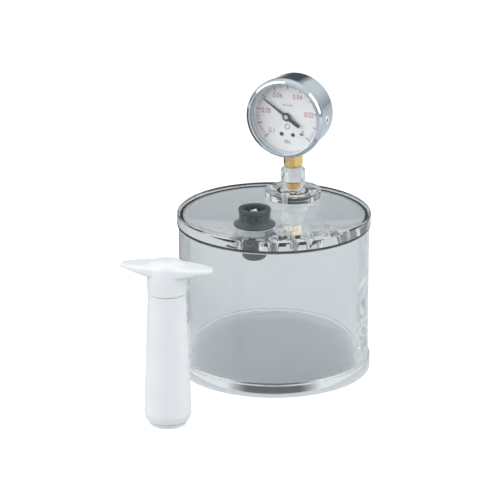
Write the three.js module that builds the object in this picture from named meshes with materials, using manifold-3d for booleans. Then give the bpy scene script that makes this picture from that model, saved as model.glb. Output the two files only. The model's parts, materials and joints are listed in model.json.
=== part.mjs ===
// Vacuum desiccator: a clear acrylic chamber with a lift-off lid, a check valve and a vacuum gauge on
// the lid, and the hand pump that evacuates it. Millimetres, +Z up, origin at the centre of the base's
// underside. The valve lies on -Y, the gauge on +Y, and the gauge's dial faces -Y.
import * as THREE from "three";
import { mergeVertices } from "three/addons/utils/BufferGeometryUtils.js";
import Module from "manifold-3d";

const wasm = await Module();
wasm.setup();

// ---- Driving dimensions -------------------------------------------------------------------------
const GAP = 0.3; // between pieces that touch or hold each other
const WALL_R = 75;
const WALL_T = 5;
const BASE_R = 76.5;
const BASE_T = 10;
const WALL_TOP_Z = 117;
const LID_R = 76.2;
const LID_T = 10;
const LID_GAP = 1; // the seal ring holds the lid this far off the wall
const LID_Z = WALL_TOP_Z + LID_GAP;
const LID_TOP_Z = LID_Z + LID_T;
const LID_BEVEL = 1.2;
const SEAL_R = WALL_R - WALL_T / 2; // the seal ring runs along the middle of the wall's rim
const SEAL_SECTION_R = 1.05;
const PORT_OFFSET = 41; // of the valve and the gauge from the chamber's axis

const VALVE_BORE_R = 8.3;
const VALVE_RIM_R = 12.6;
const VALVE_RIM_Z = 142.7;
const VALVE_FLANGE_R = 16.2;
const VALVE_CUP_R = 8.7;
const VALVE_SEAT_Z = 136.6;
const VALVE_STEM_BOTTOM_Z = 103;
const GASKET_T = 0.8;

const FLANGE_R = 22.4;
const FLANGE_T = 6;
const BOSS_R = 9.6;
const BOSS_TOP_Z = 153;
const THREAD_R = 6.4;
const SCREW_CIRCLE_R = 16.5;
const SCREW_R = 1.9;
const SCREW_HEAD_R = 3.7;

const GAUGE_Z = 197.5;
const GAUGE_FORWARD = 3.2; // the middle of the gauge stands this far in front of its stem
const CASE_R = 30.2;
const CASE_T = 0.9;
const CASE_BACK = -13.5; // along the gauge's own axis
const BEZEL_R = 32.3;
const BEZEL_FRONT = 19;
const DIAL_R = 28.4;
const DIAL_FRONT = 9;
const POINTER_REST_DEG = 56; // anticlockwise from straight up
const PINION_TEETH = 10;
const SECTOR_RATIO = 6; // pinion turns per sector turn
const TOOTH_MODULE = 0.4;

const PUMP_X = -28;
const PUMP_Y = -148;
const PUMP_TURN_DEG = 8.5;
const PUMP_TOP_R = 14.3;
const PUMP_WIDE_R = 18;
const PUMP_TOP_Z = 104.6;
const PUMP_BORE_R = 11.5;
const PUMP_MOUTH_R = 12.9;
const ROD_R = 4;
const HANDLE_R = 14.8;
const HANDLE_TOP_Z = 131;
const HANDLE_REACH = 35.8;

// Facets round each assembly. Pieces on one axis share a count, so that their facets line up.
const CHAMBER_FACETS = 40;
const VALVE_FACETS = 20;
const SOCKET_FACETS = 20;
const GAUGE_FACETS = 24;
const PUMP_FACETS = 20;
const SMALL_FACETS = 10;

// ---- Materials ----------------------------------------------------------------------------------
const paint = (color, roughness, metalness = 0, opacity = 1) =>
  new THREE.MeshStandardMaterial({ color, roughness, metalness, opacity, transparent: opacity < 1 });
const acrylic = paint(0xdfe8e8, 0.05, 0, 0.35);
const glass = paint(0xf2f6f6, 0.03, 0, 0.25);
const blackRubber = paint(0x0c0c0d, 0.6);
const greyPlastic = paint(0x4a5254, 0.45);
const whitePlastic = paint(0xf2f3f4, 0.35);
const chrome = paint(0xd4d9dc, 0.12, 1);
const steel = paint(0xb9bdbf, 0.3, 1);
const brass = paint(0xc9a24a, 0.3, 1);
const dialWhite = paint(0xf0f1ef, 0.5);
const blackPaint = paint(0x101010, 0.4);

// ---- Solid helpers ------------------------------------------------------------------------------
// A closed three.js geometry as a manifold-3d solid, turned outwards if its profile ran the other way.
function solid(geometry) {
  const bare = geometry.index ? geometry.clone() : geometry;
  bare.deleteAttribute("normal");
  bare.deleteAttribute("uv");
  const merged = mergeVertices(bare, 1e-4);
  const corners = merged.index.array;
  const triVerts = [];
  for (let i = 0; i < corners.length; i += 3) {
    const [a, b, c] = [corners[i], corners[i + 1], corners[i + 2]];
    if (a !== b && b !== c && c !== a) triVerts.push(a, b, c);
  }
  const made = (order) =>
    new wasm.Manifold(
      new wasm.Mesh({
        numProp: 3,
        vertProperties: new Float32Array(merged.attributes.position.array),
        triVerts: new Uint32Array(order),
      }),
    );
  const first = made(triVerts);
  if (first.volume() > 0) return first;
  const flipped = [];
  for (let i = 0; i < triVerts.length; i += 3) flipped.push(triVerts[i], triVerts[i + 2], triVerts[i + 1]);
  return made(flipped);
}

function geometryOf(made) {
  const mesh = made.getMesh();
  const geometry = new THREE.BufferGeometry();
  geometry.setAttribute("position", new THREE.BufferAttribute(mesh.vertProperties, 3));
  geometry.setIndex(new THREE.BufferAttribute(mesh.triVerts, 1));
  geometry.computeVertexNormals();
  return geometry;
}

// A profile of [radius, height] points, turned about the Z axis.
function revolve(profile, facets) {
  const points = profile.map(([r, z]) => new THREE.Vector2(r, z));
  return solid(new THREE.LatheGeometry(points, facets).rotateX(Math.PI / 2));
}

// A plain tube or washer, and a plain disc, between two heights.
const ring = (inner, outer, z0, z1, facets) =>
  revolve([[inner, z0], [outer, z0], [outer, z1], [inner, z1], [inner, z0]], facets);
const disc = (r, z0, z1, facets = SMALL_FACETS) => revolve([[0, z0], [r, z0], [r, z1], [0, z1]], facets);

// A round-section ring of a given centre-line radius.
function torus(r, section, z, facets) {
  const sides = 6;
  const profile = [];
  for (let i = 0; i <= sides; i++) {
    const a = (i / sides) * Math.PI * 2;
    profile.push([r + section * Math.cos(a), z + section * Math.sin(a)]);
  }
  return revolve(profile, facets);
}

// A flat outline of [x, y] points, extruded between two heights.
function slab(outline, z0, z1) {
  const shape = new THREE.Shape(outline.map(([x, y]) => new THREE.Vector2(x, y)));
  const made = new THREE.ExtrudeGeometry(shape, { depth: z1 - z0, bevelEnabled: false });
  return solid(made.translate(0, 0, z0));
}

const box = (x0, x1, y0, y1, z0, z1) => slab([[x0, y0], [x1, y0], [x1, y1], [x0, y1]], z0, z1);

// A regular polygon's outline, by its distance across flats.
function polygon(flats, sides, turn = 0) {
  const r = flats / 2 / Math.cos(Math.PI / sides);
  return Array.from({ length: sides }, (_, i) => {
    const a = turn + ((i + 0.5) / sides) * Math.PI * 2;
    return [r * Math.cos(a), r * Math.sin(a)];
  });
}

// A bar swept along a curve, with a flat section of the given width and thickness.
function strip(curve, across, thick, steps) {
  const section = new THREE.Shape([
    new THREE.Vector2(-across / 2, -thick / 2),
    new THREE.Vector2(across / 2, -thick / 2),
    new THREE.Vector2(across / 2, thick / 2),
    new THREE.Vector2(-across / 2, thick / 2),
  ]);
  return solid(new THREE.ExtrudeGeometry(section, { steps, bevelEnabled: false, extrudePath: curve }));
}

function part(name, made, material, parent) {
  const mesh = new THREE.Mesh(geometryOf(made), material);
  mesh.name = name;
  parent.add(mesh);
  return mesh;
}

function group(parent, x = 0, y = 0, z = 0) {
  const made = new THREE.Group();
  made.position.set(x, y, z);
  parent.add(made);
  return made;
}

const root = new THREE.Group();

// ---- Chamber ------------------------------------------------------------------------------------
function chamber() {
  const bevel = 0.6;
  const plate = [
    [0, 0],
    [BASE_R - bevel, 0],
    [BASE_R, bevel],
    [BASE_R, BASE_T - bevel],
    [BASE_R - bevel, BASE_T],
    [0, BASE_T],
  ];
  part("base_plate", revolve(plate, CHAMBER_FACETS), acrylic, root);
  part("vessel_wall", ring(WALL_R - WALL_T, WALL_R, BASE_T, WALL_TOP_Z, CHAMBER_FACETS), acrylic, root);
}

// ---- Lid ----------------------------------------------------------------------------------------
const screwSpots = [0, 1, 2, 3].map((i) => {
  const a = (i * Math.PI) / 2;
  return [SCREW_CIRCLE_R * Math.cos(a), SCREW_CIRCLE_R * Math.sin(a)];
});
const THREAD_HOLE_R = SCREW_R + 0.2;
const SCREW_TIP_Z = LID_Z + 2.5;

function lid() {
  const bevel = 0.5;
  const grooveDepth = 2 * SEAL_SECTION_R - LID_GAP + 0.1;
  const groove = SEAL_SECTION_R + 0.2;
  const plate = revolve(
    [
      [0, LID_Z],
      [LID_R - bevel, LID_Z],
      [LID_R, LID_Z + bevel],
      [LID_R, LID_TOP_Z - LID_BEVEL],
      [LID_R - LID_BEVEL, LID_TOP_Z],
      [0, LID_TOP_Z],
    ],
    CHAMBER_FACETS,
  );
  const [inner, outer] = [SEAL_R - groove, SEAL_R + groove];
  let cut = plate.subtract(ring(inner, outer, LID_Z - 1, LID_Z + grooveDepth, CHAMBER_FACETS));
  const through = [LID_Z - 1, LID_TOP_Z + 1];
  cut = cut.subtract(disc(VALVE_BORE_R + GAP, ...through, VALVE_FACETS).translate([0, -PORT_OFFSET, 0]));
  cut = cut.subtract(disc(3, ...through).translate([0, PORT_OFFSET, 0]));
  for (const [x, y] of screwSpots) {
    const hole = disc(THREAD_HOLE_R, SCREW_TIP_Z - 0.5, LID_TOP_Z + 1);
    cut = cut.subtract(hole.translate([x, PORT_OFFSET + y, 0]));
  }
  part("lid_plate", cut, acrylic, root);
  const sealZ = LID_Z + grooveDepth - SEAL_SECTION_R - 0.05;
  part("lid_seal_ring", torus(SEAL_R, SEAL_SECTION_R, sealZ, CHAMBER_FACETS), blackRubber, root);
}

// ---- Check valve on the lid ---------------------------------------------------------------------
const VENT_HOLES = 4;
const GUIDE_R = 1.6;

function valveBody() {
  const flangeZ = LID_TOP_Z + GASKET_T;
  const web = 2.2;
  const bore = VALVE_BORE_R - 1.8;
  const outer = revolve(
    [
      [bore, VALVE_STEM_BOTTOM_Z],
      [VALVE_BORE_R, VALVE_STEM_BOTTOM_Z],
      [VALVE_BORE_R, flangeZ],
      [VALVE_FLANGE_R, flangeZ],
      [VALVE_FLANGE_R, flangeZ + 1.5],
      [VALVE_FLANGE_R - 2.4, flangeZ + 2.9],
      [VALVE_RIM_R - 0.4, flangeZ + 3.6],
      [VALVE_RIM_R - 0.4, VALVE_RIM_Z - 3.2],
      [VALVE_RIM_R, VALVE_RIM_Z - 2.8],
      [VALVE_RIM_R, VALVE_RIM_Z - 0.5],
      [VALVE_RIM_R - 0.5, VALVE_RIM_Z],
      [VALVE_CUP_R, VALVE_RIM_Z],
      [VALVE_CUP_R, VALVE_SEAT_Z],
      [GUIDE_R + 0.1, VALVE_SEAT_Z],
      [GUIDE_R + 0.1, VALVE_SEAT_Z - web],
      [bore, VALVE_SEAT_Z - web],
      [bore, VALVE_STEM_BOTTOM_Z],
    ],
    VALVE_FACETS,
  );
  let cut = outer;
  for (let i = 0; i < VENT_HOLES; i++) {
    const a = ((i + 0.5) / VENT_HOLES) * Math.PI * 2;
    const vent = disc(0.9, VALVE_SEAT_Z - 5, VALVE_SEAT_Z + 1, 6);
    cut = cut.subtract(vent.translate([3.6 * Math.cos(a), 3.6 * Math.sin(a), 0]));
  }
  // Two holes in the rim take a pin spanner.
  for (const side of [-1, 1]) {
    const pinHole = disc(0.75, VALVE_RIM_Z - 2, VALVE_RIM_Z + 1, 6);
    cut = cut.subtract(pinHole.translate([side * 9.1, side * 5.2, 0]));
  }
  return cut;
}

function valve() {
  const at = group(root, 0, -PORT_OFFSET, 0);
  part("valve_body", valveBody(), greyPlastic, at);
  const gasketR = VALVE_FLANGE_R - 1;
  const gasket = ring(VALVE_BORE_R + GAP, gasketR, LID_TOP_Z, LID_TOP_Z + GASKET_T, VALVE_FACETS);
  part("valve_gasket", gasket, blackRubber, at);
  const washerBottom = LID_Z - 3;
  part("valve_washer", ring(VALVE_BORE_R + GAP, 10.5, washerBottom, LID_Z, VALVE_FACETS), whitePlastic, at);
  const nut = revolve(
    [
      [VALVE_BORE_R + 0.1, washerBottom],
      [10.5, washerBottom],
      [10.5, washerBottom - 2.5],
      [9.6, washerBottom - 3],
      [9.6, 102.6],
      [7.8, 100.8],
      [5.5, 100.8],
      [5.5, 102],
      [VALVE_BORE_R + 0.1, 102],
      [VALVE_BORE_R + 0.1, washerBottom],
    ],
    VALVE_FACETS,
  );
  part("valve_nut", nut, greyPlastic, at);
  poppet(at);
}

// The flap seals down on the web; its stem runs through the web to a spring below.
function poppet(at) {
  const discTop = VALVE_SEAT_Z + 1.2;
  const stemR = GUIDE_R - 0.2;
  const knob = revolve(
    [
      [0, VALVE_SEAT_Z - 11],
      [stemR - 0.5, VALVE_SEAT_Z - 11],
      [stemR - 0.5, VALVE_SEAT_Z - 10],
      [stemR, VALVE_SEAT_Z - 10],
      [stemR, discTop + GAP],
      [2.4, discTop + GAP],
      [2.4, discTop + 1],
      [1.3, discTop + 1.4],
      [1.3, VALVE_RIM_Z - 1.4],
      [0, VALVE_RIM_Z - 1.4],
    ],
    SMALL_FACETS,
  );
  let finned = knob;
  for (let i = 0; i < 3; i++) {
    const a = Math.PI / 2 + (i / 3) * Math.PI * 2;
    const fin = box(0.2, 3.4, -0.5, 0.5, discTop + 0.8, VALVE_RIM_Z - 1.6);
    finned = finned.add(fin.rotate([0, 0, (a * 180) / Math.PI]));
  }
  part("poppet_stem", finned, whitePlastic, at);
  part("poppet_disc", ring(stemR + 0.1, 6.2, VALVE_SEAT_Z, discTop, VALVE_FACETS), blackRubber, at);
  const clipZ = VALVE_SEAT_Z - 10 + 0.2;
  part("spring_clip", ring(stemR + 0.05, 4, clipZ, clipZ + 0.8, SMALL_FACETS), steel, at);
  const springTop = VALVE_SEAT_Z - 2.2 - 0.2;
  const springBottom = clipZ + 1;
  const turns = 4;
  const wire = 0.45;
  const coil = new THREE.Curve();
  coil.getPoint = (t) => {
    const a = t * turns * Math.PI * 2;
    const z = springBottom + wire / 2 + t * (springTop - springBottom - wire);
    return new THREE.Vector3(2.6 * Math.cos(a), 2.6 * Math.sin(a), z);
  };
  part("poppet_spring", strip(coil, wire, wire, turns * 8), steel, at);
}

// ---- Socket that carries the gauge --------------------------------------------------------------
function socket() {
  const at = group(root, 0, PORT_OFFSET, 0);
  const top = LID_TOP_Z + FLANGE_T;
  const threadBottom = 134.4;
  const bossBevel = 2.6;
  const body = revolve(
    [
      [3, LID_TOP_Z],
      [FLANGE_R - 0.4, LID_TOP_Z],
      [FLANGE_R, LID_TOP_Z + 0.4],
      [FLANGE_R, top - 0.7],
      [FLANGE_R - 0.7, top],
      [BOSS_R, top],
      [BOSS_R, BOSS_TOP_Z - bossBevel],
      [BOSS_R - bossBevel, BOSS_TOP_Z],
      [THREAD_R + 0.5, BOSS_TOP_Z],
      [THREAD_R + 0.5, threadBottom],
      [3, threadBottom],
      [3, LID_TOP_Z],
    ],
    SOCKET_FACETS,
  );
  const sealR = 11.5;
  const section = 1.1;
  const [inner, outer] = [sealR - section - 0.2, sealR + section + 0.2];
  let cut = body.subtract(ring(inner, outer, LID_TOP_Z - 1, LID_TOP_Z + 2.3, SOCKET_FACETS));
  for (const [x, y] of screwSpots) {
    cut = cut.subtract(disc(SCREW_R + 0.3, LID_TOP_Z - 1, top + 1).translate([x, y, 0]));
  }
  part("gauge_socket", cut, acrylic, at);
  part("socket_seal_ring", torus(sealR, section, LID_TOP_Z + section, SOCKET_FACETS), blackRubber, at);
  screwSpots.forEach(([x, y], i) => {
    const head = revolve(
      [
        [0, SCREW_TIP_Z],
        [SCREW_R, SCREW_TIP_Z],
        [SCREW_R, top],
        [SCREW_HEAD_R, top],
        [SCREW_HEAD_R, top + 0.7],
        [SCREW_HEAD_R - 0.8, top + 1.7],
        [2.2, top + 2.2],
        [0, top + 2.2],
      ],
      SMALL_FACETS,
    );
    const key = slab(polygon(2.5, 6), top + 0.9, top + 4);
    part(`flange_screw_${i + 1}`, head.subtract(key), steel, group(at, x, y, 0));
  });
}

// ---- Vacuum gauge: x right, y up and z towards the reader ---------------------------------------
const TAPE_T = 0.25;
const BLOCK_FRONT = -1.3;
const BACK_PLATE_Z = -1;
const FRONT_PLATE_Z = 4.6;
const PLATE_T = 1;
const pinionR = (PINION_TEETH * TOOTH_MODULE) / 2;
const sectorR = pinionR * SECTOR_RATIO;
const sectorAngle = THREE.MathUtils.degToRad(-41.4); // of the sector's pivot, seen from the pinion
const sectorPivot = [
  (pinionR + sectorR) * Math.cos(sectorAngle),
  (pinionR + sectorR) * Math.sin(sectorAngle),
];
const TAIL = 5;
const tailPin = [
  sectorPivot[0] + TAIL * Math.cos(sectorAngle),
  sectorPivot[1] + TAIL * Math.sin(sectorAngle),
];
const tubeR = 22;
const tubeTipAngle = THREE.MathUtils.degToRad(-30);
const tipPin = [tubeR * Math.cos(tubeTipAngle) + 1.2, tubeR * Math.sin(tubeTipAngle) + 0.4];
const pillars = [[-8, -10], [11, 8.5]];
const dialScrews = [[-4.7, -14.5], [4.7, -14.5]];
const blockScrews = [[-4, -20.5], [4, -20.5]];

const VENT_Y = -1.4;
const VENT_Z = 4.5;

function gaugeShell(at) {
  const inner = CASE_R - CASE_T;
  const roll = 2;
  const shell = revolve(
    [
      [0, CASE_BACK],
      [CASE_R - roll, CASE_BACK],
      [CASE_R - 0.6, CASE_BACK + 0.6],
      [CASE_R, CASE_BACK + roll],
      [CASE_R, 13],
      [inner, 13],
      [inner, CASE_BACK + CASE_T],
      [0, CASE_BACK + CASE_T],
    ],
    GAUGE_FACETS,
  );
  const slot = box(-7 - GAP, 7 + GAP, -CASE_R - 2, -24, -7 - GAP, 0.6 + GAP);
  const vent = box(CASE_R - 6, CASE_R + 2, VENT_Y - 2, VENT_Y + 2, VENT_Z - 2, VENT_Z + 2);
  part("gauge_case", shell.subtract(slot).subtract(vent), chrome, at);
  const plug = box(CASE_R - 1.6, CASE_R + 0.5, VENT_Y - 1.6, VENT_Y + 1.6, VENT_Z - 1.6, VENT_Z + 1.6);
  part("vent_plug", plug, blackRubber, at);
  const bezel = [
    [CASE_R + GAP, 9.5],
    [BEZEL_R - 0.5, 9.5],
    [BEZEL_R - 0.2, 14],
    [BEZEL_R, 17],
    [BEZEL_R - 1.2, 18.6],
    [BEZEL_R - 2.6, BEZEL_FRONT],
    [BEZEL_R - 4, 18.2],
    [27.9, 17],
    [27.9, 16.9],
    [CASE_R + GAP, 16.9],
    [CASE_R + GAP, 9.5],
  ];
  part("gauge_bezel", revolve(bezel, GAUGE_FACETS), chrome, at);
  part("gauge_window", disc(CASE_R - 0.2, 14.6, 16.6, GAUGE_FACETS), glass, at);
  part("window_gasket", ring(28.2, CASE_R - 0.2, 13.3, 14.3, GAUGE_FACETS), whitePlastic, at);
}

function gaugeStem(at) {
  const hexBottom = BOSS_TOP_Z + 0.9 - GAUGE_Z;
  const stemBottom = 135 - GAUGE_Z;
  // The stem hangs down the gauge's own -y, so its pieces are made upright and turned.
  const upright = (made) => made.rotate([-90, 0, 0]).translate([0, 0, -GAUGE_FORWARD]);
  const shank = revolve(
    [
      [1.5, stemBottom],
      [THREAD_R - 1, stemBottom],
      [THREAD_R - 0.2, stemBottom + 1],
      [THREAD_R - 0.2, hexBottom],
      [1.5, hexBottom],
      [1.5, stemBottom],
    ],
    SOCKET_FACETS,
  );
  const hexTop = -31.3;
  let hex = slab(polygon(14, 6, Math.PI / 6), hexBottom, hexTop);
  const round = revolve(
    [[0, hexBottom], [6.6, hexBottom], [8.2, hexBottom + 2.2], [8.2, hexTop], [0, hexTop]],
    SOCKET_FACETS,
  );
  hex = hex.intersect(round);
  const column = shank.add(hex.subtract(disc(1.5, hexBottom - 1, hexTop + 1)));
  const block = box(-7, 7, hexTop - 0.2, -17, -7, BLOCK_FRONT);
  let stem = upright(column).add(block).subtract(upright(disc(1.5, stemBottom - 1, -20)));
  for (const [x, y] of blockScrews) {
    stem = stem.subtract(disc(0.8, BLOCK_FRONT - 3.4, BLOCK_FRONT + 1).translate([x, y, 0]));
  }
  part("gauge_stem", stem, brass, at);
  const tape = ring(THREAD_R, THREAD_R + TAPE_T, 141 - GAUGE_Z, 152 - GAUGE_Z, SOCKET_FACETS);
  part("thread_tape", upright(tape), whitePlastic, at);
}

function dialAndPointer(at) {
  let dial = disc(DIAL_R, DIAL_FRONT - 0.6, DIAL_FRONT, GAUGE_FACETS).subtract(disc(1.4, 0, 20));
  for (const [x, y] of dialScrews) dial = dial.subtract(disc(0.9, 0, 20).translate([x, y, 0]));
  part("dial", dial, dialWhite, at);
  dialScrews.forEach(([x, y], i) => {
    const screw = disc(1.5, DIAL_FRONT + 0.05, DIAL_FRONT + 0.8).add(disc(0.7, 6.4, DIAL_FRONT + 0.1));
    const slit = box(-2, 2, -0.2, 0.2, DIAL_FRONT + 0.5, DIAL_FRONT + 2);
    part(`dial_screw_${i + 1}`, screw.subtract(slit), blackPaint, group(at, x, y, 0));
  });
  const stopAngle = THREE.MathUtils.degToRad(-49);
  const stop = disc(0.6, DIAL_FRONT + 0.05, DIAL_FRONT + 1.3);
  const stopAt = group(at, 17.5 * Math.cos(stopAngle), 17.5 * Math.sin(stopAngle), 0);
  part("zero_stop_pin", stop, blackPaint, stopAt);

  const turned = group(at);
  turned.rotation.z = THREE.MathUtils.degToRad(POINTER_REST_DEG);
  const needle = [[-0.55, 2.5], [-0.16, 23.4], [0.16, 23.4], [0.55, 2.5]];
  const tail = [[-1.1, -2.4], [-1.1, -12.2], [-0.6, -13], [0.6, -13], [1.1, -12.2], [1.1, -2.4]];
  const z = [DIAL_FRONT + 2, DIAL_FRONT + 2.5];
  const hub = ring(0.9, 3.3, DIAL_FRONT + 1.6, z[1] + 0.4, SMALL_FACETS);
  part("pointer", hub.add(slab(needle, ...z)).add(slab(tail, ...z)), blackPaint, turned);
  const cap = [[0, z[1] + 0.7], [2.2, z[1] + 0.7], [2.2, z[1] + 1.1], [1.2, z[1] + 1.5], [0, z[1] + 1.5]];
  part("pointer_cap", revolve(cap, SMALL_FACETS), chrome, turned);
}

// Straight-sided teeth with a generous backlash, one side of the wheel or all the way round.
function toothOutline(r, teeth, from, to, phase) {
  const pitch = (Math.PI * 2) / teeth;
  const tip = r + TOOTH_MODULE * 0.75;
  const foot = r - TOOTH_MODULE * 1.15;
  const outline = [];
  for (let i = from; i < to; i++) {
    const a = phase + i * pitch;
    for (const [share, radius] of [[-0.27, foot], [-0.1, tip], [0.1, tip], [0.27, foot]]) {
      outline.push([radius * Math.cos(a + share * pitch), radius * Math.sin(a + share * pitch)]);
    }
  }
  return outline;
}

function movement(at) {
  const hole = (x, y, r) => disc(r, -4, 12).translate([x, y, 0]);
  const plateShape = [[-10.5, -12.5], [-7, -17.5], [7, -17.5], [13, -12.5], [14, -4], [13.5, 11], [8.5, 11]];
  const shaft = 0.8;
  const bearing = shaft + 0.06;
  const backShape = [...plateShape.slice(0, 1), [-7, -23], [7, -23], ...plateShape.slice(3)];
  let back = slab(backShape, BACK_PLATE_Z, BACK_PLATE_Z + PLATE_T);
  for (const [x, y] of blockScrews) back = back.subtract(hole(x, y, 1));
  back = back.subtract(hole(0, 0, bearing)).subtract(hole(...sectorPivot, bearing));
  for (const [x, y] of pillars) {
    back = back.add(disc(1.3, -0.2, FRONT_PLATE_Z - 0.05).translate([x, y, 0]));
  }
  part("movement_back_plate", back, brass, at);
  let front = slab(plateShape, FRONT_PLATE_Z, FRONT_PLATE_Z + PLATE_T);
  for (const [x, y] of dialScrews) {
    const post = disc(1.6, FRONT_PLATE_Z + 0.5, DIAL_FRONT - 0.7);
    front = front.add(post.translate([x, y, 0])).subtract(disc(0.8, 6, 12).translate([x, y, 0]));
  }
  front = front.subtract(hole(0, 0, bearing)).subtract(hole(...sectorPivot, bearing));
  part("movement_front_plate", front, brass, at);
  blockScrews.forEach(([x, y], i) => {
    const z = BACK_PLATE_Z + PLATE_T;
    const screw = disc(1.5, z + 0.05, z + 0.9).add(disc(0.65, BLOCK_FRONT - 3, z + 0.1));
    part(`movement_screw_${i + 1}`, screw, steel, group(at, x, y, 0));
  });

  const teeth = toothOutline(pinionR, PINION_TEETH, 0, PINION_TEETH, sectorAngle);
  const pinion = slab(teeth, 0.8, 3.6).add(disc(shaft, BACK_PLATE_Z, DIAL_FRONT + 3));
  part("pinion_arbor", pinion, brass, at);

  const wheelTeeth = PINION_TEETH * SECTOR_RATIO;
  const facing = Math.PI + sectorAngle;
  const half = Math.PI / wheelTeeth;
  const rack = toothOutline(sectorR, wheelTeeth, -8, 9, facing + half);
  const reach = 4 * half * 2;
  const sectorShape = [
    ...rack,
    [2.2 * Math.cos(facing + Math.PI / 2), 2.2 * Math.sin(facing + Math.PI / 2)],
    [(TAIL + 1) * Math.cos(facing + Math.PI - 0.2), (TAIL + 1) * Math.sin(facing + Math.PI - 0.2)],
    [(TAIL + 1) * Math.cos(facing + Math.PI + 0.2), (TAIL + 1) * Math.sin(facing + Math.PI + 0.2)],
    [2.2 * Math.cos(facing - Math.PI / 2), 2.2 * Math.sin(facing - Math.PI / 2)],
  ];
  const pivot = disc(shaft, BACK_PLATE_Z, FRONT_PLATE_Z + PLATE_T);
  const tailX = tailPin[0] - sectorPivot[0];
  const tailY = tailPin[1] - sectorPivot[1];
  const tail = disc(0.4, 2.5, 4.2).translate([tailX, tailY, 0]);
  const window = slab(
    [
      [6 * Math.cos(facing - reach), 6 * Math.sin(facing - reach)],
      [9.6 * Math.cos(facing - reach), 9.6 * Math.sin(facing - reach)],
      [10.2 * Math.cos(facing), 10.2 * Math.sin(facing)],
      [9.6 * Math.cos(facing + reach), 9.6 * Math.sin(facing + reach)],
      [6 * Math.cos(facing + reach), 6 * Math.sin(facing + reach)],
    ],
    0,
    5,
  );
  const sector = slab(sectorShape, 1.6, 2.8).subtract(window).add(pivot).add(tail);
  part("sector_gear", sector, brass, group(at, ...sectorPivot, 0));

  const dx = tipPin[0] - tailPin[0];
  const dy = tipPin[1] - tailPin[1];
  const length = Math.hypot(dx, dy);
  const bar = box(-1, length + 1, -0.9, 0.9, 3.1, 3.8).subtract(hole(0, 0, 0.5));
  const link = group(at, ...tailPin, 0);
  link.rotation.z = Math.atan2(dy, dx);
  part("link_bar", bar.subtract(hole(length, 0, 0.6)), brass, link);

  const spiral = new THREE.Curve();
  spiral.getPoint = (t) => {
    const a = 0.5 + t * 3 * Math.PI * 2;
    const r = 1.3 + 2.6 * t;
    return new THREE.Vector3(r * Math.cos(a), r * Math.sin(a), 4.05);
  };
  part("hairspring", strip(spiral, 0.5, 0.15, 30), brass, at);

  const tube = new THREE.Curve();
  const rootAngle = THREE.MathUtils.degToRad(-113);
  const sweep = tubeTipAngle - Math.PI * 2 - rootAngle;
  tube.getPoint = (t) => {
    const a = rootAngle + sweep * t;
    return new THREE.Vector3(tubeR * Math.cos(a), tubeR * Math.sin(a), -3.6);
  };
  part("bourdon_tube", strip(tube, 5.4, 1.8, 26), brass, at);
  // The tip block closes the tube's end, and its pin stops short of the link.
  const tip = group(at, tubeR * Math.cos(tubeTipAngle), tubeR * Math.sin(tubeTipAngle), 0);
  tip.rotation.z = tubeTipAngle;
  part("tube_tip", box(-1.6, 1.6, -3.6, -GAP, -5.6, -0.8), brass, tip);
}

function gauge() {
  const at = group(root, 0, PORT_OFFSET - GAUGE_FORWARD, GAUGE_Z);
  at.rotation.x = Math.PI / 2;
  gaugeShell(at);
  gaugeStem(at);
  dialAndPointer(at);
  movement(at);
}

// ---- Hand pump, standing beside the chamber -----------------------------------------------------
const FOOT_T = 3.2;
const SEAT_Z = 12.4; // depth of the mouth
const FLOOR_Z = 14.6; // of the cylinder
const CAP_Z = 97.8;
const PISTON_Z = 17;
const PISTON_T = 9;

function barrel(at) {
  const capR = 13;
  const shell = revolve(
    [
      [PUMP_MOUTH_R + 1.4, FOOT_T],
      [16.2, FOOT_T + 0.9],
      [17.4, FOOT_T + 2.4],
      [PUMP_WIDE_R, FOOT_T + 5.5],
      [PUMP_TOP_R, PUMP_TOP_Z],
      [capR, PUMP_TOP_Z],
      [capR, CAP_Z],
      [PUMP_BORE_R, CAP_Z],
      [PUMP_BORE_R, FLOOR_Z],
      [2.6, FLOOR_Z],
      [2.6, SEAT_Z],
      [PUMP_MOUTH_R, SEAT_Z],
      [PUMP_MOUTH_R, FOOT_T],
      [PUMP_MOUTH_R + 1.4, FOOT_T],
    ],
    PUMP_FACETS,
  );
  part("pump_barrel", shell, whitePlastic, at);
  const foot = [
    [PUMP_MOUTH_R, 0],
    [PUMP_MOUTH_R + 0.6, 0],
    [PUMP_MOUTH_R + 1.2, 0.6],
    [PUMP_MOUTH_R + 1.2, FOOT_T],
    [PUMP_MOUTH_R, FOOT_T],
    [PUMP_MOUTH_R, 0],
  ];
  part("pump_foot_ring", revolve(foot, PUMP_FACETS), whitePlastic, at);
  part("mouth_seal", ring(8.4, PUMP_MOUTH_R - 0.1, SEAT_Z - 1.5, SEAT_Z, PUMP_FACETS), blackRubber, at);
  const flap = revolve(
    [
      [0, SEAT_Z + 0.2],
      [1.2, SEAT_Z + 0.2],
      [1.2, FLOOR_Z + 0.1],
      [5.5, FLOOR_Z + 0.1],
      [5.5, FLOOR_Z + 0.9],
      [0, FLOOR_Z + 1.4],
    ],
    PUMP_FACETS,
  );
  part("inlet_flap", flap, blackRubber, at);
  const cap = [
    [ROD_R + 0.2, CAP_Z],
    [capR - 0.1, CAP_Z],
    [capR - 0.1, PUMP_TOP_Z - 0.2],
    [ROD_R + 0.2, PUMP_TOP_Z - 0.2],
    [ROD_R + 0.2, CAP_Z],
  ];
  part("rod_guide_cap", revolve(cap, PUMP_FACETS), whitePlastic, at);
}

// The wings are as deep as the hub at their root and narrow to a round tip.
function wingPlan() {
  const outline = [];
  const steps = 14;
  for (let i = 0; i < steps * 2; i++) {
    const a = (i / (steps * 2)) * Math.PI * 2;
    const x = HANDLE_REACH * Math.sign(Math.cos(a)) * Math.abs(Math.cos(a)) ** 0.85;
    outline.push([x, 12.6 * Math.sin(a)]);
  }
  return outline;
}

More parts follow.
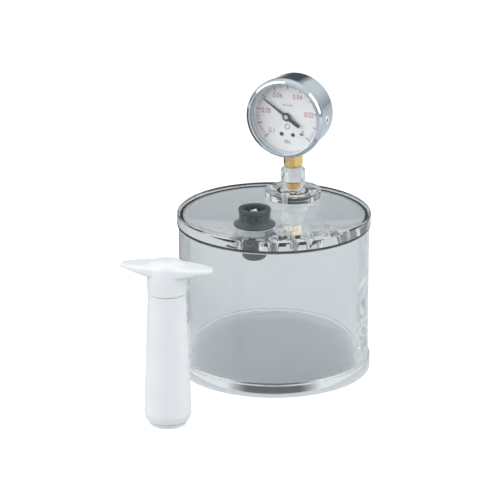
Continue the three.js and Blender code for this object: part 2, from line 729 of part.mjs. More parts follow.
function handle(at) {
  const skirtZ = PUMP_TOP_Z + 0.3;
  const hub = revolve(
    [
      [0, HANDLE_TOP_Z],
      [6, HANDLE_TOP_Z - 0.4],
      [10.5, HANDLE_TOP_Z - 1.5],
      [13, HANDLE_TOP_Z - 3],
      [HANDLE_R - 0.8, HANDLE_TOP_Z - 5.5],
      [HANDLE_R, skirtZ + 14],
      [HANDLE_R, skirtZ + 0.5],
      [HANDLE_R - 0.5, skirtZ],
      [11.8, skirtZ],
      [11.8, skirtZ + 16],
      [ROD_R + 2.4, skirtZ + 16],
      [ROD_R + 2.4, skirtZ + 6],
      [ROD_R + 0.1, skirtZ + 6],
      [ROD_R + 0.1, skirtZ + 20],
      [0, skirtZ + 20],
    ],
    PUMP_FACETS,
  );
  const side = [
    [-HANDLE_REACH, 123.6],
    [-HANDLE_REACH, 126.4],
    [-24, 127.6],
    [-12, 128],
    [12, 128],
    [24, 127.6],
    [HANDLE_REACH, 126.4],
    [HANDLE_REACH, 123.6],
    [28, 122.6],
    [20, 122.2],
    [14, 120.6],
    [9, 118],
    [-9, 118],
    [-14, 120.6],
    [-20, 122.2],
    [-28, 122.6],
  ];
  const wings = slab(wingPlan(), 110, 130).intersect(slab(side, -20, 20).rotate([90, 0, 0]));
  const bore = disc(ROD_R + 0.1, skirtZ + 15, skirtZ + 20, PUMP_FACETS);
  const hollow = disc(11.8, 100, skirtZ + 16, PUMP_FACETS).add(bore);
  part("pump_handle", hub.add(wings.subtract(hollow)), whitePlastic, at);
  const rodTop = skirtZ + 19.6;
  part("piston_rod", disc(ROD_R, PISTON_Z + PISTON_T + GAP, rodTop, PUMP_FACETS), whitePlastic, at);
  const bob = PUMP_BORE_R - 0.5;
  const head = revolve(
    [
      [0, PISTON_Z],
      [bob, PISTON_Z],
      [bob, PISTON_Z + 3],
      [bob - 1.8, PISTON_Z + 3],
      [bob - 1.8, PISTON_Z + 6],
      [bob, PISTON_Z + 6],
      [bob, PISTON_Z + PISTON_T],
      [0, PISTON_Z + PISTON_T],
    ],
    PUMP_FACETS,
  );
  part("piston_head", head, whitePlastic, at);
  const seal = ring(bob - 1.6, PUMP_BORE_R - 0.1, PISTON_Z + 3.3, PISTON_Z + 5.7, PUMP_FACETS);
  part("piston_seal", seal, blackRubber, at);
}

function pump() {
  const at = group(root, PUMP_X, PUMP_Y, 0);
  at.rotation.z = THREE.MathUtils.degToRad(PUMP_TURN_DEG);
  barrel(at);
  handle(at);
}

chamber();
lid();
valve();
socket();
gauge();
pump();

export default root;
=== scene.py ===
"""Looks for the vacuum desiccator: a clear acrylic chamber and lid, the check valve, the dial gauge and the
hand pump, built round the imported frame. Shapes are written in millimetres and stored in metres."""

import json
import math

import bmesh
import bpy
from mathutils import Matrix, Vector

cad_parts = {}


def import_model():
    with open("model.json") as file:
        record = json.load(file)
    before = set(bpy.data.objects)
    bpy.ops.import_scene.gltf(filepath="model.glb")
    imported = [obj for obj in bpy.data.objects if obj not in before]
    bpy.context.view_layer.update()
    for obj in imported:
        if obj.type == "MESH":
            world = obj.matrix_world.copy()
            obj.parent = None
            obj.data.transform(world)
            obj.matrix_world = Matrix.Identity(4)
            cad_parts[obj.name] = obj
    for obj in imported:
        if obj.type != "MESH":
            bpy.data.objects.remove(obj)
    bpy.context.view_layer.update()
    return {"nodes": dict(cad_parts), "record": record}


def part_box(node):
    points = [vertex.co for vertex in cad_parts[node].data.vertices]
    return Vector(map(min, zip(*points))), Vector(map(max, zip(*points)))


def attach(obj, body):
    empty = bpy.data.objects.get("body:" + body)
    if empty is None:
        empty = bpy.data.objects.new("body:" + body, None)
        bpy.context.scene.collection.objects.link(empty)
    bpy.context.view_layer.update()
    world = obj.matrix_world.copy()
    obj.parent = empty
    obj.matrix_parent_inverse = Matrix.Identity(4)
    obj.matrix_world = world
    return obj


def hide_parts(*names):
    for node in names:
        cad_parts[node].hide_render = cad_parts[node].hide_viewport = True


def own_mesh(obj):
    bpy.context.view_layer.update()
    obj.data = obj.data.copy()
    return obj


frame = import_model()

MM = 0.001
TURN = math.tau
UP = Matrix.Identity(4)


# ---- Sizes read from the frame, in millimetres --------------------------------------------------
def span(node):
    low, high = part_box(node)
    return low / MM, high / MM


def middle(node):
    low, high = span(node)
    return (low + high) / 2


BASE_R, BASE_T = span("base_plate")[1].x, span("base_plate")[1].z
WALL_R, WALL_TOP = span("vessel_wall")[1].x, span("vessel_wall")[1].z
WALL_T = 5.0
LID_R, LID_Z, LID_TOP = span("lid_plate")[1].x, span("lid_plate")[0].z, span("lid_plate")[1].z
SEAL_R = WALL_R - WALL_T / 2
SEAL_SECTION = 1.05
VALVE_Y = middle("valve_body").y
GAUGE_Y = middle("gauge_socket").y
SCREW_CIRCLE = middle("flange_screw_1").x
GAUGE_Z = middle("gauge_window").z
# The window's middle stands this far in front of the gauge's own middle.
PANE_Z = 15.6
GAUGE_MIDDLE_Y = middle("gauge_window").y + PANE_Z
VALVE_TOP = span("valve_body")[1].z
STEM_FOOT = 135
TAPE_LOW, TAPE_HIGH = 141, 152
PUMP_AT = middle("pump_barrel")
PUMP_TURN = math.radians(8.5)
PUMP_TOP = span("pump_barrel")[1].z
HANDLE_TOP = span("pump_handle")[1].z
POINTER_REST = math.radians(56)

# Places of the object's parts: the valve, the socket, the gauge, whose dial faces the front, and the pump.
VALVE = Matrix.Translation((0, VALVE_Y, 0))
SOCKET = Matrix.Translation((0, GAUGE_Y, 0))
GAUGE = Matrix.Translation((0, GAUGE_MIDDLE_Y, GAUGE_Z)) @ Matrix.Rotation(math.pi / 2, 4, "X")
PUMP = Matrix.Translation((PUMP_AT.x, PUMP_AT.y, 0)) @ Matrix.Rotation(PUMP_TURN, 4, "Z")


# ---- Mesh helpers -------------------------------------------------------------------------------
def rounded(corners, closed=False, steps=5):
    """The points of an outline given as (x, y, corner radius). The ends of an open one stay sharp."""
    points = []
    count = len(corners)
    for i, (x, y, r) in enumerate(corners):
        at = Vector((x, y))
        if r == 0 or (not closed and i in (0, count - 1)):
            points.append(at)
            continue
        before = Vector(corners[i - 1][:2]) - at
        after = Vector(corners[(i + 1) % count][:2]) - at
        half = before.angle(after) / 2
        reach = min(r / math.tan(half), 0.49 * before.length, 0.49 * after.length)
        start = at + before.normalized() * reach
        end = at + after.normalized() * reach
        for k in range(steps + 1):
            t = k / steps
            points.append((1 - t) ** 2 * start + 2 * t * (1 - t) * at + t**2 * end)
    return points


def store(name, verts, faces, place=UP, crease=35):
    """A named mesh object with its faces turned outwards, smooth except at edges above the crease angle."""
    mesh = bpy.data.meshes.new(name)
    mesh.from_pydata([tuple(v) for v in verts], [], faces)
    mesh.transform(Matrix.Scale(MM, 4) @ place)
    piece = bpy.data.objects.new(name, mesh)
    bpy.context.scene.collection.objects.link(piece)
    tidy(piece, crease)
    return piece


def tidy(piece, crease=35):
    """Welds doubled corners, turns the faces outwards and marks the sharp edges."""
    work = bmesh.new()
    work.from_mesh(piece.data)
    bmesh.ops.remove_doubles(work, verts=work.verts, dist=1e-7)
    bmesh.ops.recalc_face_normals(work, faces=work.faces)
    work.to_mesh(piece.data)
    work.free()
    piece.data.shade_smooth()
    piece.data.set_sharp_from_angle(angle=math.radians(crease))


def lathe(name, profile, place=UP, facets=96, closed=False):
    """A profile of (radius, height) points turned about Z. A closed one makes a ring."""
    verts, faces, rows = [], [], []
    for r, z in profile:
        if r < 1e-6:
            rows.append([len(verts)] * facets)
            verts.append((0, 0, z))
            continue
        rows.append([len(verts) + k for k in range(facets)])
        for k in range(facets):
            a = TURN * k / facets
            verts.append((r * math.cos(a), r * math.sin(a), z))
    pairs = list(zip(rows, rows[1:]))
    if closed:
        pairs.append((rows[-1], rows[0]))
    for low, high in pairs:
        for k in range(facets):
            n = (k + 1) % facets
            corners = list(dict.fromkeys((low[k], low[n], high[n], high[k])))
            if len(corners) > 2:
                faces.append(corners)
    return store(name, verts, faces, place)


def circle(r, sides):
    return [(r * math.cos(TURN * k / sides), r * math.sin(TURN * k / sides)) for k in range(sides)]


def torus(name, r, section, z, place=UP, facets=96):
    profile = [(r + across, z + up) for across, up in circle(section, 20)]
    return lathe(name, profile, place, facets, closed=True)


def prism(name, outline, z0, z1, place):
    count = len(outline)
    verts = [(x, y, z) for z in (z0, z1) for x, y in outline]
    faces = [list(range(count)), list(range(count, 2 * count))]
    for k in range(count):
        n = (k + 1) % count
        faces.append([k, n, count + n, count + k])
    return store(name, verts, faces, place)


def drill(r, z0, z1, place, sides=32):
    """A cylinder that another piece is cut with."""
    return prism("drill", circle(r, sides), z0, z1, place)


def sweep(name, path, section, place):
    """A closed section of (across, up) points carried along a path that never runs straight up."""
    verts, faces = [], []
    count = len(section)
    for i, point in enumerate(path):
        ahead = Vector(path[min(i + 1, len(path) - 1)]) - Vector(path[max(i - 1, 0)])
        side = ahead.cross(Vector((0, 0, 1))).normalized()
        top = side.cross(ahead).normalized()
        verts += [Vector(point) + side * u + top * v for u, v in section]
    for i in range(len(path) - 1):
        for k in range(count):
            n = (k + 1) % count
            faces.append([i * count + k, i * count + n, (i + 1) * count + n, (i + 1) * count + k])
    faces.append(list(range(count)))
    faces.append([(len(path) - 1) * count + k for k in range(count)])
    return store(name, verts, faces, place, crease=60)


def boolean(piece, others, operation="DIFFERENCE"):
    """Cuts the piece with the other objects, or joins or crosses it with them. They are used up."""
    for other in others:
        step = piece.modifiers.new("step", "BOOLEAN")
        step.operation = operation
        step.object = other
        step.solver = "EXACT"
    bake(piece)
    for other in others:
        bpy.data.objects.remove(other)
    tidy(piece)


def bake(piece):
    """Turns the piece's modifiers into its mesh."""
    graph = bpy.context.evaluated_depsgraph_get()
    baked = bpy.data.meshes.new_from_object(piece.evaluated_get(graph))
    piece.modifiers.clear()
    piece.data = baked


def soften(piece, voxel, rounds):
    """Remeshes and smooths a joined piece, so that its edges and roots are moulded round."""
    step = piece.modifiers.new("remesh", "REMESH")
    step.mode = "VOXEL"
    step.voxel_size = voxel * MM
    step = piece.modifiers.new("smooth", "SMOOTH")
    step.factor = 0.5
    step.iterations = rounds
    bake(piece)
    piece.data.shade_smooth()


def dress(piece, look, body, slot, *nodes):
    """Gives a piece its material, the body it moves with and the CAD nodes it stands for; the slot argument
    is not used.
    """
    piece.data.materials.clear()
    piece.data.materials.append(look)
    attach(piece, body)
    if nodes:
        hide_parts(*nodes)


# ---- Materials ----------------------------------------------------------------------------------
class Look:
    """A Principled material and short ways to add to its nodes."""

    def __init__(self, name, color, roughness, metallic=0.0):
        self.material = bpy.data.materials.new(name)
        self.material.use_nodes = True
        self.tree = self.material.node_tree
        self.shader = self.tree.nodes["Principled BSDF"]
        self.color = (*color, 1)
        self.shader.inputs["Base Color"].default_value = self.color
        self.shader.inputs["Roughness"].default_value = roughness
        self.shader.inputs["Metallic"].default_value = metallic
        self.where = self.node("ShaderNodeTexCoord").outputs["Object"]

    def node(self, kind, links=(), **settings):
        made = self.tree.nodes.new(kind)
        for key, value in settings.items():
            setattr(made, key, value)
        for socket, source in links:
            self.tree.links.new(source, made.inputs[socket])
        return made

    def noise(self, per_mm, detail=3.0, vector=None):
        made = self.node("ShaderNodeTexNoise", [("Vector", vector or self.where)])
        made.inputs["Scale"].default_value = per_mm / MM
        made.inputs["Detail"].default_value = detail
        return made.outputs["Fac"]

    def rings(self, place, axis):
        """Coordinates that are the same all round an axis, for marks left by turning."""
        made = self.node("ShaderNodeMapping", [("Vector", self.where)])
        made.inputs["Location"].default_value = tuple(-v * MM for v in place)
        flat = {"Z": (1, 1, 0), "Y": (1, 0, 1)}[axis]
        along = tuple(1 - v for v in flat)
        radial = self.node("ShaderNodeVectorMath", [(0, made.outputs[0])], operation="MULTIPLY")
        radial.inputs[1].default_value = flat
        length = self.node("ShaderNodeVectorMath", [(0, radial.outputs[0])], operation="LENGTH")
        height = self.node("ShaderNodeVectorMath", [(0, made.outputs[0])], operation="DOT_PRODUCT")
        height.inputs[1].default_value = along
        links = [("X", length.outputs["Value"]), ("Y", height.outputs["Value"])]
        return self.node("ShaderNodeCombineXYZ", links).outputs[0]

    def ranged(self, source, low, high, from_low=0.3, from_high=0.7):
        made = self.node("ShaderNodeMapRange", [("Value", source)])
        made.inputs["From Min"].default_value = from_low
        made.inputs["From Max"].default_value = from_high
        made.inputs["To Min"].default_value = low
        made.inputs["To Max"].default_value = high
        return made.outputs["Result"]

    def set(self, socket, source):
        self.tree.links.new(source, self.shader.inputs[socket])

    def rough(self, source, low, high):
        self.set("Roughness", self.ranged(source, low, high))

    def tone(self, source, dark, light):
        """Varies the colour between two shares of itself."""
        made = self.node("ShaderNodeMix", [(0, self.ranged(source, 0, 1))], data_type="RGBA")
        made.inputs[6].default_value = (*(c * dark for c in self.color[:3]), 1)
        made.inputs[7].default_value = (*(min(1, c * light) for c in self.color[:3]), 1)
        self.set("Base Color", made.outputs[2])

    def bump(self, source, height_mm, strength):
        made = self.node("ShaderNodeBump", [("Height", source)])
        made.inputs["Distance"].default_value = height_mm * MM
        made.inputs["Strength"].default_value = strength
        self.set("Normal", made.outputs["Normal"])

    def clear(self, ior, tint):
        """Makes it transparent, and lets the lamps' light straight through, tinted."""
        self.shader.inputs["Transmission Weight"].default_value = 1
        self.shader.inputs["IOR"].default_value = ior
        path = self.node("ShaderNodeLightPath")
        through = self.node("ShaderNodeBsdfTransparent")
        through.inputs["Color"].default_value = (*tint, 1)
        links = [
            (0, path.outputs["Is Shadow Ray"]),
            (1, self.shader.outputs["BSDF"]),
            (2, through.outputs["BSDF"]),
        ]
        mixed = self.node("ShaderNodeMixShader", links)
        output = self.tree.nodes["Material Output"]
        self.tree.links.new(mixed.outputs["Shader"], output.inputs["Surface"])


def acrylic_look(name, color, shadow):
    look = Look(name, color, 0.0)
    look.rough(look.noise(0.05), 0.0, 0.012)
    look.clear(1.49, shadow)
    return look.material


def glass_look():
    look = Look("window_glass", (0.97, 0.985, 0.985), 0.0)
    look.rough(look.noise(0.08), 0.0, 0.01)
    look.clear(1.5, (0.97, 0.98, 0.98))
    return look.material


def rubber_look():
    look = Look("black_rubber", (0.012, 0.012, 0.013), 0.42)
    look.tone(look.noise(0.6), 0.6, 1.5)
    look.rough(look.noise(0.9), 0.34, 0.55)
    look.bump(look.noise(6, 6), 0.02, 0.5)
    return look.material


def grey_plastic_look():
    look = Look("grey_plastic", (0.056, 0.072, 0.076), 0.34)
    look.tone(look.noise(0.12), 0.88, 1.12)
    look.rough(look.noise(0.5), 0.26, 0.42)
    look.bump(look.noise(4, 5), 0.012, 0.5)
    return look.material


def white_plastic_look():
    look = Look("white_plastic", (0.735, 0.755, 0.775), 0.34)
    look.tone(look.noise(0.03), 0.965, 1.02)
    look.rough(look.noise(0.25), 0.28, 0.42)
    look.bump(look.noise(1.2, 5), 0.015, 0.35)
    look.shader.inputs["Subsurface Weight"].default_value = 0.08
    look.shader.inputs["Subsurface Radius"].default_value = (0.003, 0.003, 0.003)
    return look.material


def tape_look():
    look = Look("ptfe_tape", (0.86, 0.87, 0.88), 0.5)
    wound = look.noise(1.0, 4, look.rings((0, GAUGE_Y, 0), "Z"))
    look.tone(wound, 0.8, 1.05)
    look.rough(wound, 0.4, 0.6)
    look.bump(wound, 0.1, 0.8)
    return look.material


def chrome_look():
    look = Look("polished_chrome", (0.60, 0.665, 0.715), 0.06, 1.0)
    drawn = look.noise(2.2, 4, look.rings((0, GAUGE_Y, GAUGE_Z), "Y"))
    look.tone(look.noise(0.05), 0.95, 1.03)
    look.rough(drawn, 0.035, 0.10)
    look.bump(drawn, 0.0015, 0.6)
    return look.material


def steel_look():
    look = Look("turned_steel", (0.60, 0.61, 0.62), 0.25, 1.0)
    look.tone(look.noise(0.4), 0.85, 1.05)
    look.rough(look.noise(1.5), 0.16, 0.34)
    look.bump(look.noise(5, 4), 0.004, 0.5)
    return look.material


def brass_look():
    look = Look("machined_brass", (0.83, 0.60, 0.25), 0.24, 1.0)
    milled = look.noise(1.6, 4, look.rings((0, GAUGE_Y, GAUGE_Z), "Z"))
    look.tone(look.noise(0.25), 0.85, 1.05)
    look.rough(milled, 0.16, 0.32)
    look.bump(milled, 0.006, 0.6)
    return look.material


def dial_look():
    look = Look("dial_paint", (0.94, 0.935, 0.95), 0.5)
    look.tone(look.noise(0.05), 0.975, 1.01)
    look.rough(look.noise(0.8), 0.42, 0.58)
    look.bump(look.noise(5, 4), 0.004, 0.4)
    return look.material


def ink_look(name, color):
    look = Look(name, color, 0.55)
    look.tone(look.noise(1.5, 4), 0.8, 1.2)
    look.rough(look.noise(2.0), 0.45, 0.65)
    return look.material


def black_paint_look():
    look = Look("black_paint", (0.012, 0.012, 0.013), 0.3)
    look.tone(look.noise(0.8), 0.7, 1.4)
    look.rough(look.noise(1.2), 0.24, 0.4)
    look.bump(look.noise(6, 3), 0.003, 0.4)
    return look.material


ACRYLIC = acrylic_look("clear_acrylic", (0.915, 0.934, 0.939), (0.93, 0.94, 0.945))
SOCKET_ACRYLIC = acrylic_look("clear_acrylic_socket", (0.96, 0.965, 0.975), (0.97, 0.975, 0.98))
WINDOW = glass_look()
RUBBER = rubber_look()
GREY = grey_plastic_look()
WHITE = white_plastic_look()
TAPE = tape_look()
CHROME = chrome_look()
STEEL = steel_look()
BRASS = brass_look()
DIAL = dial_look()
RED_INK = ink_look("red_ink", (0.50, 0.07, 0.065))
BLACK_INK = ink_look("black_ink", (0.025, 0.022, 0.022))
BLACK = black_paint_look()


# ---- Chamber ------------------------------------------------------------------------------------
def vessel():
    inner = WALL_R - WALL_T
    profile = rounded(
        [
            (0, 0, 0),
            (BASE_R, 0, 0.6),
            (BASE_R, BASE_T, 0.6),
            (WALL_R, BASE_T, 0.15),
            (WALL_R, WALL_TOP, 0.35),
            (inner, WALL_TOP, 0.35),
            (inner, BASE_T, 0.5),
            (0, BASE_T, 0),
        ]
    )
    piece = lathe("vessel_body", profile, facets=256)
    dress(piece, ACRYLIC, "chamber", "acrylic", "base_plate", "vessel_wall")


# ---- Lid ----------------------------------------------------------------------------------------
def screw_places():
    return [SOCKET @ Matrix.Translation((x, y, 0)) for x, y in circle(SCREW_CIRCLE, 4)]


def lid():
    """A plate with no groove: the ring is pressed into its clear underside, so that it shows black."""
    bevel = 1.2
    valve_hole_r = 8.6
    port_r = 3
    screw_hole_r = 2.1
    profile = rounded(
        [
            (0, LID_Z, 0),
            (LID_R, LID_Z, 0.5),
            (LID_R, LID_TOP - bevel, 0.4),
            (LID_R - bevel, LID_TOP, 0.4),
            (0, LID_TOP, 0),
        ]
    )
    plate = lathe("lid_disc", profile, facets=256)
    holes = [
        drill(valve_hole_r, LID_Z - 1, LID_TOP + 1, VALVE, 64),
        drill(port_r, LID_Z - 1, LID_TOP + 1, SOCKET),
    ]
    for at in screw_places():
        holes.append(drill(screw_hole_r, LID_Z + 2, LID_TOP + 1, at))
    boolean(plate, holes)
    dress(plate, ACRYLIC, "lid", "acrylic", "lid_plate")
    seal = torus("lid_o_ring", SEAL_R, SEAL_SECTION, LID_Z + 0.1, facets=256)
    dress(seal, RUBBER, "lid", "black_rubber", "lid_seal_ring")


# ---- Check valve --------------------------------------------------------------------------------
def valve():
    flange_z = LID_TOP + 0.8
    flange_r = 16.2
    seat = span("poppet_disc")[0].z
    seat_under = seat - 2.2
    bottom = span("valve_body")[0].z
    rim = VALVE_TOP - 0.1
    rim_r = 12.6
    collar_r = 12.2
    shank_r = 8.3
    cup_r = 8.7
    bore_r = 6.5
    guide_r = 1.7
    profile = rounded(
        [
            (bore_r, bottom, 0.2),
            (shank_r, bottom, 0.2),
            (shank_r, flange_z, 0.1),
            (flange_r, flange_z, 0.35),
            (flange_r, flange_z + 1.5, 0.5),
            (13.8, flange_z + 2.9, 0.8),
            (collar_r, flange_z + 3.9, 0.7),
            (collar_r, VALVE_TOP - 3.4, 0.3),
            (rim_r, VALVE_TOP - 3.0, 0.3),
            (rim_r, rim, 0.5),
            (cup_r, rim, 0.3),
            (cup_r, seat, 0.3),
            (guide_r, seat, 0.1),
            (guide_r, seat_under, 0.1),
            (bore_r, seat_under, 0.2),
        ],
        closed=True,
    )
    body = lathe("valve_housing", profile, VALVE, 128, closed=True)
    cuts = []
    air_hole_circle = 3.6
    for k in range(4):
        a = TURN * (k + 0.5) / 4
        at = VALVE @ Matrix.Translation((air_hole_circle * math.cos(a), air_hole_circle * math.sin(a), 0))
        cuts.append(drill(0.9, seat - 5, seat + 1, at))
    for side in (-1, 1):
        at = VALVE @ Matrix.Translation((side * 10.6, side * 0.8, 0))
        cuts.append(drill(0.85, VALVE_TOP - 2, VALVE_TOP + 1, at))
    dimple = Matrix.Rotation(math.radians(-64), 4, "Z") @ Matrix.Translation((rim_r, 0, VALVE_TOP - 6.4))
    cuts.append(drill(1.1, -1.3, 1, VALVE @ dimple @ Matrix.Rotation(math.pi / 2, 4, "Y")))
    boolean(body, cuts)
    dress(body, GREY, "lid", "grey_plastic", "valve_body")
    valve_rings(flange_z)
    poppet(seat)
    return_spring()


def valve_rings(flange_z):
    """The gasket under the flange, and the spacer and the nut on the shank below the lid."""
    hole_r = 8.6
    seal_r = 15.4
    gasket = rounded(
        [
            (hole_r, LID_TOP, 0.1),
            (seal_r, LID_TOP, 0.3),
            (seal_r, flange_z, 0.3),
            (hole_r, flange_z, 0.1),
        ],
        closed=True,
    )
    dress(lathe("valve_seal", gasket, VALVE, 96, True), WHITE, "lid", "white_plastic", "valve_gasket")
    low, high = span("valve_washer")[0].z, span("valve_washer")[1].z
    nut_r = 10.5
    washer = rounded(
        [
            (hole_r, low, 0.3),
            (nut_r, low, 0.5),
            (nut_r, high, 0.5),
            (hole_r, high, 0.3),
        ],
        closed=True,
    )
    dress(lathe("valve_spacer", washer, VALVE, 96, True), WHITE, "lid", "white_plastic", "valve_washer")
    thread_r = 8.4
    waist_r = 9.6
    mouth_r = 5.5
    mouth = 100.8
    shoulder = 102
    nut = rounded(
        [
            (thread_r, low, 0.1),
            (nut_r, low, 0.4),
            (nut_r, low - 2.4, 0.5),
            (waist_r, low - 3.0, 0.3),
            (waist_r, mouth + 1.8, 0.8),
            (7.8, mouth, 0.6),
            (mouth_r, mouth, 0.3),
            (mouth_r, shoulder, 0.2),
            (thread_r, shoulder, 0.1),
        ],
        closed=True,
    )
    dress(lathe("valve_locknut", nut, VALVE, 96, True), GREY, "lid", "grey_plastic", "valve_nut")


def poppet(seat):
    """The stem with its three-finned knob, and the rubber flap that it lifts off the seat."""
    top = seat + 1.2
    rod_r = 1.4
    collar_r = 2.6
    knob_r = 1.3
    knob_top = VALVE_TOP - 1.4
    profile = rounded(
        [
            (0, seat - 11, 0),
            (0.9, seat - 11, 0.2),
            (0.9, seat - 10, 0.1),
            (rod_r, seat - 10, 0.1),
            (rod_r, top + 0.3, 0.1),
            (collar_r, top + 0.3, 0.2),
            (collar_r, top + 0.9, 0.2),
            (knob_r, top + 1.5, 0.4),
            (knob_r, knob_top, 0.5),
            (0, knob_top, 0),
        ]
    )
    stem = lathe("release_stem", profile, VALVE, 40)
    fins = []
    for k in range(3):
        place = VALVE @ Matrix.Rotation(TURN * (k / 3 + 0.25), 4, "Z")
        corners = [(0.4, -0.45, 0), (3.3, -0.45, 0.4), (3.3, 0.45, 0.4), (0.4, 0.45, 0)]
        outline = rounded(corners, closed=True, steps=3)
        fins.append(prism("fin", outline, top + 0.8, VALVE_TOP - 1.7, place))
    boolean(stem, fins, "UNION")
    dress(stem, WHITE, "release_poppet", "white_plastic", "poppet_stem")
    section = rounded([(1.5, seat, 0.1), (6.2, seat, 0.2), (6.2, top, 0.4), (1.5, top, 0.1)], closed=True)
    flap = lathe("release_flap", section, VALVE, 64, closed=True)
    dress(flap, RUBBER, "release_poppet", "black_rubber", "poppet_disc")


def return_spring():
    """The coil under the seat, which moves with the lid."""
    low, high = span("poppet_spring")
    wire = 0.22
    turns = 4
    steps = turns * 28
    coil_r = high.x - wire
    bottom, top = low.z + wire, high.z - wire
    path = []
    for k in range(steps + 1):
        a = TURN * turns * k / steps
        path.append((coil_r * math.cos(a), coil_r * math.sin(a), bottom + (top - bottom) * k / steps))
    spring = sweep("release_spring", path, circle(wire, 12), VALVE)
    dress(spring, STEEL, "lid", "steel", "poppet_spring")
    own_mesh(spring)


# ---- Gauge socket -------------------------------------------------------------------------------
def socket():
    """The clear flange and boss. A film of air under it keeps its underside from fusing with the lid."""
    top = LID_TOP + 6
    film = LID_TOP + 0.05
    groove = LID_TOP + 1.6
    boss = span("gauge_socket")[1].z
    flange_r = 22.4
    boss_r = 9.6
    thread_r = 6.9
    thread_end = STEM_FOOT - 0.6
    port_r = 3
    profile = rounded(
        [
            (port_r, film, 0),
            (10.4, film, 0.1),
            (10.4, groove, 0.2),
            (12.6, groove, 0.2),
            (12.6, film, 0.1),
            (flange_r, film, 0.4),
            (flange_r, top, 0.8),
            (boss_r, top, 0.5),
            (boss_r, boss - 2.6, 0.5),
            (7.2, boss, 0.4),
            (thread_r, boss, 0),
            (thread_r, thread_end, 0.3),
            (port_r, thread_end, 0.2),
        ],
        closed=True,
    )
    body = lathe("gauge_boss", profile, SOCKET, 160, closed=True)
    boolean(body, [drill(2.2, LID_TOP - 1, top + 1, at) for at in screw_places()])
    dress(body, SOCKET_ACRYLIC, "lid", "acrylic", "gauge_socket")
    seal = torus("socket_o_ring", 11.5, SEAL_SECTION, LID_TOP + 1.1, SOCKET)
    dress(seal, RUBBER, "lid", "black_rubber", "socket_seal_ring")
    for k, at in enumerate(screw_places()):
        pan_screw(f"socket_screw_{k + 1}", at, top, f"flange_screw_{k + 1}")


def pan_screw(name, at, top, node):
    """A cross-slotted screw whose head stands on the flange's top."""
    tip = span(node)[0].z
    shank_r = 1.9
    head_r = 3.7
    pitch = 0.6
    ridges = []
    z = tip + 1
    while z < LID_TOP - 1:
        ridges += [(shank_r, z, 0), (1.55, z + pitch / 2, 0)]
        z += pitch
    profile = rounded(
        [
            (0, tip, 0),
            (1.3, tip, 0),
            *ridges,
            (shank_r, LID_TOP, 0),
            (shank_r, top, 0),
            (head_r, top, 0.2),
            (head_r, top + 0.9, 0.5),
            (2.9, top + 1.8, 0.9),
            (0, top + 2.2, 0),
        ],
        steps=4,
    )
    screw = lathe(name, profile, at, 40)
    cross = []
    first = 0.6
    for turn in (first, first + math.pi / 2):
        outline = [(-1.9, -0.32), (1.9, -0.32), (1.9, 0.32), (-1.9, 0.32)]
        place = at @ Matrix.Rotation(turn, 4, "Z")
        cross.append(prism("slot", outline, top + 1.0, top + 3, place))
    boolean(screw, cross)
    dress(screw, STEEL, "lid", "steel", node)


# ---- Gauge: x right, y up and z towards the reader ----------------------------------------------
def gauge_case():
    """The can with its ring-shaped recess at the back, a slot for the stem and a vent at the right."""
    case_r = 30.2
    inner_r = 29.3
    back = -13.5
    front = 13
    floor_z = back + 1.2
    recess = back + 0.5
    profile = rounded(
        [
            (0, back, 0),
            (20, back, 0),
            (20.6, recess, 0.4),
            (24.5, recess, 0.4),
            (25.1, back, 0.4),
            (case_r, back, 2.6),
            (case_r, front, 0.3),
            (inner_r, front, 0.3),
            (inner_r, floor_z, 1.6),
            (0, floor_z, 0),
        ],
        steps=8,
    )
    case = lathe("gauge_can", profile, GAUGE, 192)
    down = Matrix.Rotation(math.pi / 2, 4, "X")
    slot = rounded([(-7.4, -7.4, 2), (7.4, -7.4, 2), (7.4, 1, 2), (-7.4, 1, 2)], closed=True)
    side = GAUGE @ Matrix.Translation((0, -1.4, 4.5)) @ Matrix.Rotation(math.pi / 2, 4, "Y")
    cuts = [prism("slot", slot, 24, case_r + 2, GAUGE @ down), drill(2.3, 26, case_r + 2, side)]
    boolean(case, cuts)
    dress(case, CHROME, "lid", "chrome", "gauge_case")
    vent(side)


def vent(side):
    """The rubber stopper and its white eyelet, drawn outwards from the gauge's middle."""
    plug = rounded([(0, 28.8, 0), (1.7, 28.8, 0.2), (1.7, 31.3, 0.3), (0, 31.5, 0)])
    dress(lathe("vent_stopper", plug, side, 40), RUBBER, "lid", "black_rubber", "vent_plug")
    eyelet = rounded(
        [
            (1.8, 29.6, 0.1),
            (2.2, 29.6, 0.1),
            (2.2, 30.1, 0.1),
            (3.6, 30.1, 0.2),
            (3.4, 31.9, 0.5),
            (1.8, 31.9, 0.4),
        ],
        closed=True,
    )
    dress(lathe("vent_eyelet", eyelet, side, 64, True), WHITE, "lid", "white_plastic")


